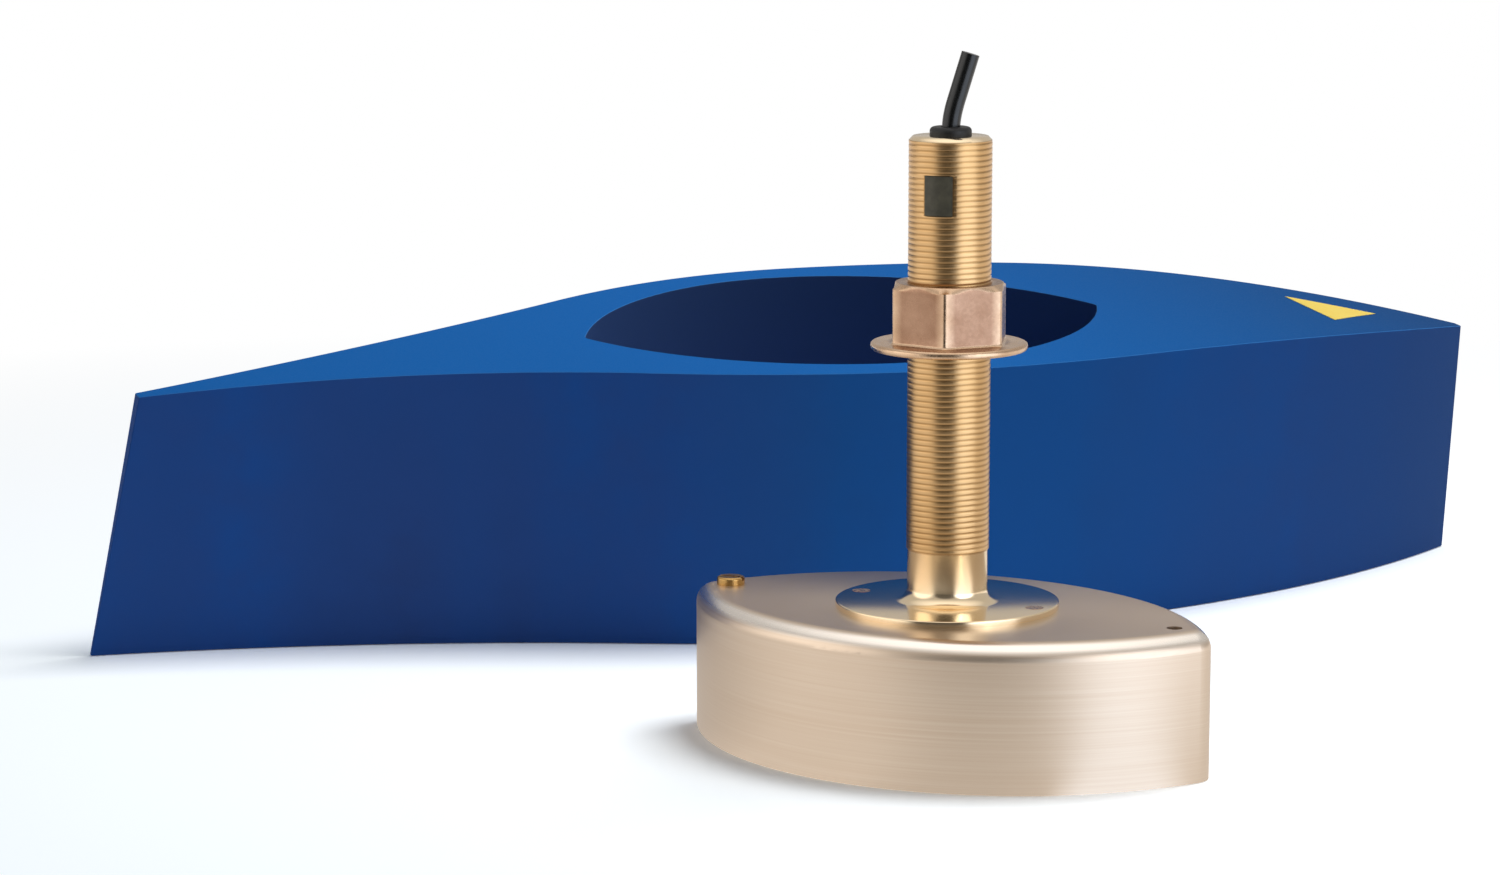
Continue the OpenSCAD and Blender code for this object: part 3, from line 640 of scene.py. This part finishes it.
def smooth_path(points, steps):
    """A Catmull-Rom curve through the points: each stretch is a cubic of the four points around it."""
    padded = np.vstack([2 * points[0] - points[1], points, 2 * points[-1] - points[-2]])
    before, start, end, after = padded[:-3], padded[1:-2], padded[2:-1], padded[3:]
    t = np.linspace(0, 1, steps, endpoint=False)[:, None, None]
    curve = start + t * (end - before) / 2
    curve = curve + t**2 * (before - 2.5 * start + 2 * end - after / 2)
    curve = curve + t**3 * (1.5 * (start - end) + (after - before) / 2)
    path = curve.transpose(1, 0, 2).reshape(-1, points.shape[1])
    return np.vstack([path, points[-1]])


def make_cable():
    """A round tube: circles square to the route, closed by smaller circles at both ends."""
    stem_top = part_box("stem")[1].z
    route = smooth_path(np.array(CABLE_ROUTE) * MM, CABLE_STEPS)
    lean = np.array([math.cos(CABLE_LEAN), math.sin(CABLE_LEAN), 0])
    aside = np.array([-math.sin(CABLE_LEAN), math.cos(CABLE_LEAN), 0])
    path = route[:, :1] * lean + (route[:, 1:] + stem_top) * np.array(UP)
    step = np.gradient(path, axis=0)
    step = step / np.linalg.norm(step, axis=1, keepdims=True)
    across = np.cross(aside, step)
    end_radii = CABLE_R * np.array(CABLE_END_SHARES)
    radii = np.concatenate([end_radii, np.full(len(path), CABLE_R), end_radii[::-1]])
    rows = np.concatenate([[0, 0], np.arange(len(path)), [len(path) - 1, len(path) - 1]])
    angle = np.linspace(0, TURN, CABLE_SIDES, endpoint=False)[:, None]
    ring = np.cos(angle) * across[rows][:, None] + np.sin(angle) * aside
    points = path[rows][:, None] + radii[:, None, None] * ring
    cable = add_piece("supply_cable", points, grid_faces(len(rows), len(angle)), "cable_black")
    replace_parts(cable, "cable")
    return cable


# Stem

def thread_groove(turns, height):
    """0 on a crest, 1 in a root: flat crests and roots with straight flanks, along a helix."""
    place = (height / THREAD_PITCH - turns / TURN) % 1
    from_root = np.abs(2 * place - 1)
    return np.clip((THREAD_CREST_FROM - from_root) / (THREAD_CREST_FROM - THREAD_ROOT_TO), 0, 1)


def make_stem():
    """A profile turned round the axis: bore, spigot, seat flange, foot, shank and thread; the thread's
    radius falls into its grooves, and under the plate it is no more than the plate's seat."""
    low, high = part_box("stem")
    seat_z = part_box("housing")[1].z
    seat_top = seat_z + SEAT_T
    seat_r = high.x
    thread_z = seat_top + SHANK_LENGTH
    thread_top = high.z - STEM_CHAMFER
    bore = [(BORE_R, high.z), (BORE_R, low.z)]
    spigot = [(SPIGOT_R, low.z), (SPIGOT_R, seat_z), (seat_r, seat_z)]
    rim = arc((seat_r - SEAT_EDGE, seat_top - SEAT_EDGE), SEAT_EDGE, 0, 90, steps=5)
    foot = arc((SHANK_R + FOOT_R, seat_top + FOOT_R), FOOT_R, 270, 180, steps=14)
    step = [(SHANK_R, thread_z - STEM_CHAMFER / 2)]
    rows = int((thread_top - thread_z) / THREAD_PITCH * THREAD_ROWS_PER_TURN)
    thread = np.column_stack([np.full(rows, STEM_R), np.linspace(thread_z, thread_top, rows)])
    top = [(STEM_R - STEM_CHAMFER, high.z)]
    profile = np.concatenate([bore, spigot, rim, foot, step, thread, top])
    turns = np.linspace(0, TURN, STEM_SIDES, endpoint=False)
    height = profile[:, 1:]
    radius = np.repeat(profile[:, :1], len(turns), axis=1)
    first = len(profile) - 1 - rows
    cut = thread_groove(turns, height[first:-1])
    run_in = np.clip((height[first:-1] - thread_z) / THREAD_PITCH, 0, 1)
    radius[first:-1] = radius[first:-1] - THREAD_DEPTH * cut * run_in
    plate_low, plate_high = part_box("stem_plate")
    from_plate = np.abs((turns - PLATE_TURN + math.pi) % TURN - math.pi)
    off_plate = from_plate > PLATE_SPREAD / 2 + PLATE_SPREAD_MARGIN
    below_plate = height < plate_low.z - PLATE_END_MARGIN
    above_plate = height > plate_high.z + PLATE_END_MARGIN
    radius = np.where(off_plate | below_plate | above_plate, radius, np.minimum(radius, PLATE_SEAT_R))
    points = revolve(radius, height, turns)
    quads = grid_faces(*radius.shape, close_rows=True)
    stem = add_piece("threaded_stem", points, quads, "turned_bronze", sharp=SHARP_THREAD)
    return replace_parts(stem, "stem")


# Hull nut

def hex_radius(turns):
    """Distance to the side of a hexagon with rounded corners: a flat's line, then the corner's circle."""
    off_flat = np.abs((turns - NUT_TURN) % (TURN / NUT_FLATS) - NUT_HALF_FLAT)
    inner = NUT_FLAT_R - NUT_CORNER_ROUND
    round_from = math.atan(inner * math.tan(NUT_HALF_FLAT) / NUT_FLAT_R)
    corner_middle = inner / math.cos(NUT_HALF_FLAT)
    off_corner = NUT_HALF_FLAT - off_flat
    under_root = np.maximum(NUT_CORNER_ROUND**2 - (corner_middle * np.sin(off_corner)) ** 2, 0)
    corner = corner_middle * np.cos(off_corner) + np.sqrt(under_root)
    return np.where(off_flat > round_from, corner, NUT_FLAT_R / np.cos(off_flat))


def make_nut():
    """A profile turned round the axis: bore, chamfered top, hexagon, fillet, flange; the hexagon's radius
    differs by angle."""
    low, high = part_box("hull_nut")
    flange_top = low.z + NUT_FLANGE_T
    corner_r = NUT_FLAT_R / math.cos(NUT_HALF_FLAT)
    bore = [(NUT_BORE_R + NUT_LEAD, low.z), (NUT_BORE_R, low.z + NUT_LEAD),
            (NUT_BORE_R, high.z - NUT_LEAD), (NUT_BORE_R + NUT_LEAD, high.z)]
    face = [(NUT_FLAT_R - NUT_EDGE, high.z)]
    crown = arc((NUT_FLAT_R - NUT_EDGE, high.z - NUT_EDGE), NUT_EDGE, 75, 30, steps=4)
    slope = [(corner_r, high.z - NUT_CHAMFER)]
    wall_z = np.linspace(high.z - NUT_WALL_DROP, flange_top + NUT_FILLET, NUT_WALL_ROWS)
    wall = np.column_stack([np.full(NUT_WALL_ROWS, corner_r), wall_z])
    base = arc((NUT_FILLET, flange_top + NUT_FILLET), NUT_FILLET, 180, 270, steps=5)
    rim_r = NUT_FLANGE_R - FLANGE_EDGE
    rim_top = arc((rim_r, flange_top - FLANGE_EDGE), FLANGE_EDGE, 90, 0, steps=8)
    rim_low = arc((rim_r, low.z + FLANGE_EDGE), FLANGE_EDGE, 0, -90, steps=8)
    turns = np.linspace(0, TURN, NUT_SIDES, endpoint=False)
    hexagon = hex_radius(turns)
    above = np.concatenate([bore, face, crown, slope, wall])
    above_r = np.minimum(np.repeat(above[:, :1], len(turns), axis=1), hexagon)
    base_r = hexagon + base[:, :1]
    below = np.concatenate([rim_top, rim_low])
    below_r = np.repeat(below[:, :1], len(turns), axis=1)
    radius = np.concatenate([above_r, base_r, below_r])
    height = np.concatenate([above[:, 1:], base[:, 1:], below[:, 1:]])
    points = revolve(radius, height, turns)
    quads = grid_faces(*radius.shape, close_rows=True)
    nut = add_piece("flanged_nut", points, quads, "nut_bronze", sharp=SHARP_THREAD)
    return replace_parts(nut, "hull_nut")


# Fairing

def fairing_half_width(x):
    """Half the width at x: one arc from the beam to the bow, then a round and a hollow arc to the tail."""
    bow_run = BOW_X - BEAM_X
    bow_fall = BEAM_HALF - BOW_HALF
    bow_r = (bow_run**2 + bow_fall**2) / (2 * bow_fall)
    run = BEAM_X - TAIL_X
    fall = BEAM_HALF - TAIL_HALF
    run_round = math.sin(TAIL_SLOPE)
    run_hollow = math.sin(TAIL_SLOPE) - math.sin(TAIL_END_SLOPE)
    fall_round = 1 - math.cos(TAIL_SLOPE)
    fall_hollow = math.cos(TAIL_END_SLOPE) - math.cos(TAIL_SLOPE)
    share = run_round * fall_hollow - run_hollow * fall_round
    round_r = (run * fall_hollow - run_hollow * fall) / share
    hollow_r = (run_round * fall - fall_round * run) / share
    turn_x = BEAM_X - round_r * run_round
    turn_half = BEAM_HALF - round_r * fall_round
    hollow_x = turn_x - hollow_r * math.sin(TAIL_SLOPE)
    hollow_y = turn_half + hollow_r * math.cos(TAIL_SLOPE)
    to_bow = BEAM_HALF - bow_r + np.sqrt(np.maximum(bow_r**2 - (x - BEAM_X) ** 2, 0))
    to_turn = BEAM_HALF - round_r + np.sqrt(np.maximum(round_r**2 - (x - BEAM_X) ** 2, 0))
    to_tail = hollow_y - np.sqrt(np.maximum(hollow_r**2 - (x - hollow_x) ** 2, 0))
    return np.where(x > BEAM_X, to_bow, np.where(x > turn_x, to_turn, to_tail))


def fairing_top(x):
    """Height of the top at x: level from the middle to BOW_CROWN_X, then an arc down to each end."""
    past_bow = np.maximum(x - BOW_CROWN_X, 0)
    past_tail = np.minimum(x, 0)
    bow_drop = BOW_CROWN_R - np.sqrt(BOW_CROWN_R**2 - past_bow**2)
    tail_drop = TAIL_CROWN_R - np.sqrt(TAIL_CROWN_R**2 - past_tail**2)
    return FAIRING_HEIGHT - bow_drop - tail_drop


def fairing_tail(height):
    """x of the raked tail edge at a height."""
    return TAIL_X - (FAIRING_HEIGHT - height) * math.tan(TAIL_RAKE)


def hull_side(y):
    """Height of the angled hull side at y."""
    return -y * math.tan(DEADRISE)


def place_fairing(points):
    """Points of the fairing's frame in the part's frame: tilted by the deadrise, turned, moved."""
    x, y, z = points[..., 0], points[..., 1], points[..., 2]
    tilted_y = y * math.cos(DEADRISE) - z * math.sin(DEADRISE)
    tilted_z = y * math.sin(DEADRISE) + z * math.cos(DEADRISE)
    turned_x = x * math.cos(FAIRING_TURN) - tilted_y * math.sin(FAIRING_TURN)
    turned_y = x * math.sin(FAIRING_TURN) + tilted_y * math.cos(FAIRING_TURN)
    return np.stack([turned_x + FAIRING_PLACE[0], turned_y + FAIRING_PLACE[1], tilted_z], axis=-1)


def pocket_loop(count):
    """The housing's two arcs grown by the clearance, at even steps along the outline from the bow tip on,
    closed at each tip by a small round that touches both."""
    side_r = HOUSING_ARC_R + POCKET_CLEAR
    tip_x = math.sqrt((side_r - POCKET_TIP_R) ** 2 - HOUSING_ARC_Y**2)
    meet = math.degrees(math.atan2(HOUSING_ARC_Y, tip_x))
    outline = np.concatenate([
        arc((tip_x, 0), POCKET_TIP_R, 0, meet, steps=24),
        arc((0, -HOUSING_ARC_Y), side_r, meet, 180 - meet, steps=240),
        arc((-tip_x, 0), POCKET_TIP_R, 180 - meet, 180 + meet, steps=48),
        arc((0, HOUSING_ARC_Y), side_r, 180 + meet, 360 - meet, steps=240),
        arc((tip_x, 0), POCKET_TIP_R, -meet, 0, steps=24),
    ])
    along = np.concatenate([[0], np.cumsum(np.linalg.norm(np.diff(outline, axis=0), axis=1))])
    places = np.linspace(0, along[-1], count, endpoint=False)
    x = np.interp(places, along, outline[:, 0])
    y = np.interp(places, along, outline[:, 1])
    return np.column_stack([x, y])


def circle_loop(x, radius):
    """A circle on the fairing's long axis."""
    angle = np.linspace(0, TURN, HOLE_SIDES, endpoint=False)
    return np.column_stack([x + radius * np.cos(angle), radius * np.sin(angle)])


def hole_rings(x, radius):
    """Four rings of a hole: collar and edge on the pocket's floor, edge and collar on the hull side."""
    edge = circle_loop(x, radius)
    collar = circle_loop(x, radius + HOLE_COLLAR)
    floor_z = np.full(HOLE_SIDES, POCKET_Z)
    return np.stack([
        np.column_stack([collar, floor_z]),
        np.column_stack([edge, floor_z]),
        np.column_stack([edge, hull_side(edge[:, 1])]),
        np.column_stack([collar, hull_side(collar[:, 1])]),
    ])


def fairing_walls():
    """The closed outline from the bow round both sides, in rows at even shares of the way up to the top."""
    side = np.linspace(0, 1, FAIRING_SIDE_STEPS)
    end = np.linspace(0, 1, FAIRING_END_STEPS)
    inner = end[1:-1]
    at_bow = np.zeros_like(inner)
    at_tail = np.ones_like(inner)
    full = np.ones_like(side)
    along = np.concatenate([[0], at_bow, side, at_tail, at_tail, side[::-1], at_bow])
    across = np.concatenate([end[:-1], full, 1 - inner, -inner, -full, inner - 1])
    share = np.linspace(0, 1, FAIRING_WALL_ROWS)[:, None]
    tail_x = fairing_tail(share * fairing_top(fairing_tail(fairing_top(TAIL_X))))
    x = BOW_X + (tail_x - BOW_X) * along
    y = across * fairing_half_width(x)
    hull_z = hull_side(y)
    return np.stack([x, y, hull_z + share * (fairing_top(x) - hull_z)], axis=-1)


def make_fairing():
    """Rows of one closed outline go up the sides, over the top to the pocket's rim and down to its floor;
    flat faces with two holes close the floor and the hull side."""
    walls = fairing_walls()
    count = walls.shape[1]
    pocket = pocket_loop(count)
    rim = np.column_stack([pocket, fairing_top(pocket[:, 0])])
    to_rim = np.linspace(0, 1, FAIRING_TOP_ROWS)[1:, None, None]
    top = walls[-1] + to_rim * (rim - walls[-1])
    top[..., 2] = fairing_top(top[..., 0])
    floor = np.column_stack([pocket, np.full(count, POCKET_Z)])
    to_floor = np.linspace(0, 1, POCKET_WALL_ROWS)[1:, None, None]
    inner = rim + to_floor * (floor - rim)
    floor_inset = floor * np.array([FLAT_INSET, FLAT_INSET, 1])
    hull_inset = walls[0] * FLAT_INSET
    rows = np.concatenate([hull_inset[None], walls, top, inner, floor_inset[None]])
    stem_hole = hole_rings(0, STEM_HOLE_R)
    bolt_hole = hole_rings(BOLT_HOLE_X, BOLT_HOLE_R)
    grids = [place_fairing(grid) for grid in (rows, stem_hole, bolt_hole)]
    shell, stem_hole, bolt_hole = grids
    floor_points, floor_faces = flat_between([shell[-1], stem_hole[0], bolt_hole[0]])
    hull_points, hull_faces = flat_between([shell[0], stem_hole[-1], bolt_hole[-1]])
    groups = [grid.reshape(-1, 3) for grid in grids] + [floor_points, hull_points]
    starts = np.cumsum([0] + [len(group) for group in groups])
    quads = np.concatenate([grid_faces(*grid.shape[:2]) + start for grid, start in zip(grids, starts)])
    floor_start = starts[len(grids)]
    hull_start = floor_start + len(floor_points)
    triangles = np.concatenate([floor_faces + floor_start, hull_faces + hull_start])
    fairing = add_piece("fairing_block", np.concatenate(groups), quads, "fairing_blue", triangles)
    soften = fairing.modifiers.new("soft_edges", "BEVEL")
    soften.width = FAIRING_EDGE
    soften.segments = FAIRING_EDGE_STEPS
    soften.limit_method = "ANGLE"
    soften.angle_limit = SHARP_EDGE
    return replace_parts(fairing, "fairing")


def make_mark():
    """A thin triangle on the top: rows from its base to its point, with a lower skirt set into the top."""
    base_x = MARK_POINT_X - MARK_LENGTH
    share = np.linspace(0, MARK_POINT_SHARE, MARK_ROWS)[:, None]
    across = np.linspace(-1, 1, MARK_COLUMNS)
    skirt = np.concatenate([[-1], across, [1]])
    x = np.concatenate([share[:1], share, share[-1:]]) * MARK_LENGTH + base_x
    half = MARK_WIDTH / 2 * (1 - (x - base_x) / MARK_LENGTH)
    y = half * skirt
    x = np.broadcast_to(x, y.shape)
    sunk = np.ones(y.shape)
    sunk[1:-1, 1:-1] = 0
    z = fairing_top(x) + MARK_PROUD - sunk * 2 * MARK_PROUD
    points = place_fairing(np.stack([x, y, z], axis=-1))
    mark = add_piece("bow_triangle", points, grid_faces(*y.shape, close_columns=False), "mark_yellow")
    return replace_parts(mark, "bow_mark")


def dress_solids():
    """Each solid takes the finish of its slot in the record."""
    for row in frame["record"]["subparts"]:
        solid = frame["nodes"][row["node"]]
        solid.data.materials.clear()
        solid.data.materials.append(FINISHES[row["material_slot"]])


# Stage

def make_camera():
    """The photograph's camera: place, dip and lens as fitted to the stem, the housing and the fairing."""
    camera = bpy.data.objects.new("camera", bpy.data.cameras.new("camera"))
    bpy.context.scene.collection.objects.link(camera)
    camera.data.lens = CAMERA_LENS
    camera.data.sensor_width = CAMERA_SENSOR
    camera.location = CAMERA_PLACE
    level = math.cos(CAMERA_DIP)
    ahead = Vector((-math.sin(CAMERA_TURN) * level, math.cos(CAMERA_TURN) * level, -math.sin(CAMERA_DIP)))
    camera.rotation_euler = ahead.to_track_quat("-Z", "Y").to_euler()
    bpy.context.scene.camera = camera


def in_part(tree, direction, part, outside=0, inside=1):
    """One value inside a part of the tent and another outside it, with the part's soft edge between."""
    turn, reach, fade = part
    angle = CAMERA_TURN + math.radians(turn)
    aim = (math.sin(angle), -math.cos(angle), 0)
    edge = math.cos(math.radians(reach + fade))
    full = math.cos(math.radians(reach))
    return ramp(tree, towards(tree, direction, aim), edge, full, outside, inside)


def tent_level(tree, direction, level, parts):
    """What a mirror sees all round: the tent's own level, then its darker and brighter parts."""
    for part, part_level in parts:
        level = in_part(tree, direction, part, level, part_level)
    return level


def make_floor():
    """A floor that shows the soft shadow near the object and turns plain white further off; a mirror sees
    the tent's levels on it instead."""
    mesh = bpy.data.meshes.new("floor")
    corners = FLOOR_HALF * np.array([(-1, -1, 0), (1, -1, 0), (1, 1, 0), (-1, 1, 0)])
    mesh.from_pydata((corners - FLOOR_DROP * np.array(UP)).tolist(), [], [(0, 1, 2, 3)])
    floor = bpy.data.objects.new("floor", mesh)
    bpy.context.scene.collection.objects.link(floor)
    material, tree, _ = new_finish("floor_white")
    path = tree.nodes.new("ShaderNodeLightPath")
    seen = path.outputs["Is Camera Ray"]
    mirrored = path.outputs["Is Glossy Ray"]
    from_middle = tree.nodes.new("ShaderNodeTexCoord").outputs["Object"]
    distance = vector_node(tree, "LENGTH", from_middle)["Value"]
    matt = tree.nodes.new("ShaderNodeBsdfDiffuse")
    tree.links.new(mix_colours(tree, seen, FLOOR_BOUNCE, FLOOR_SEEN), matt.inputs["Color"])
    near_panel = in_part(tree, from_middle, WALL_PANEL)
    far_panel = in_part(tree, from_middle, STEM_PANEL)
    in_panel = ramp(tree, distance, *NEAR_TO_FAR, near_panel, far_panel)
    tint = mix_colours(tree, in_panel, MIRROR_TINT, PANEL_TINT)
    near = tent_level(tree, from_middle, NEAR_LEVEL, NEAR_PARTS)
    far = tent_level(tree, from_middle, FAR_LEVEL, FAR_PARTS)
    in_mirror = ramp(tree, distance, *NEAR_TO_FAR, near, far)
    glow = tree.nodes.new("ShaderNodeEmission")
    tree.links.new(mix_colours(tree, mirrored, WHITE, tint), glow.inputs["Color"])
    tree.links.new(blend(tree, mirrored, 1, in_mirror), glow.inputs["Strength"])
    far_off = ramp(tree, distance, *FLOOR_FADE, FLOOR_NEAR_GLOW, 1)
    share = math_node(tree, "MAXIMUM", mirrored, math_node(tree, "MULTIPLY", seen, far_off))
    mix = tree.nodes.new("ShaderNodeMixShader")
    tree.links.new(share, mix.inputs["Fac"])
    tree.links.new(matt.outputs["BSDF"], mix.inputs[1])
    tree.links.new(glow.outputs["Emission"], mix.inputs[2])
    tree.links.new(mix.outputs["Shader"], tree.nodes["Material Output"].inputs["Surface"])
    mesh.materials.append(material)


def make_world():
    """White to the camera, the tent with its parts in a mirror, a low even light on surfaces."""
    world = bpy.data.worlds.new("studio")
    world.use_nodes = True
    bpy.context.scene.world = world
    tree = world.node_tree
    backdrop = tree.nodes["Background"]
    path = tree.nodes.new("ShaderNodeLightPath")
    seen = path.outputs["Is Camera Ray"]
    mirrored = path.outputs["Is Glossy Ray"]
    around = tree.nodes.new("ShaderNodeTexCoord").outputs["Generated"]
    ceiling = ramp(tree, towards(tree, around, UP), *CEILING_RISE, *CEILING_LEVELS)
    in_mirror = tent_level(tree, around, ceiling, HIGH_PARTS)
    level = blend(tree, mirrored, AMBIENT, in_mirror)
    mirror_tint = mix_colours(tree, in_part(tree, around, STEM_PANEL), MIRROR_TINT, PANEL_TINT)
    tint = mix_colours(tree, mirrored, AMBIENT_TINT, mirror_tint)
    tree.links.new(mix_colours(tree, seen, tint, WHITE), backdrop.inputs["Color"])
    tree.links.new(blend(tree, seen, level, BACKDROP_LEVEL), backdrop.inputs["Strength"])


def add_softbox(name, place, aim, width, height, power, in_mirror):
    """A soft rectangular lamp that points at a place on the object, seen in reflections or not."""
    data = bpy.data.lights.new(name, "AREA")
    data.shape = "RECTANGLE"
    data.size = width
    data.size_y = height
    data.energy = power
    lamp = bpy.data.objects.new(name, data)
    bpy.context.scene.collection.objects.link(lamp)
    lamp.visible_glossy = in_mirror
    lamp.location = place
    lamp.rotation_euler = (Vector(aim) - Vector(place)).to_track_quat("-Z", "Y").to_euler()


make_camera()
make_cable()
dress_solids()
make_stem()
make_nut()
make_fairing()
make_mark()
make_floor()
make_world()
add_softbox("key", **KEY_LAMP)
add_softbox("top", **TOP_LAMP)
bpy.context.scene.view_settings.view_transform = "Standard"
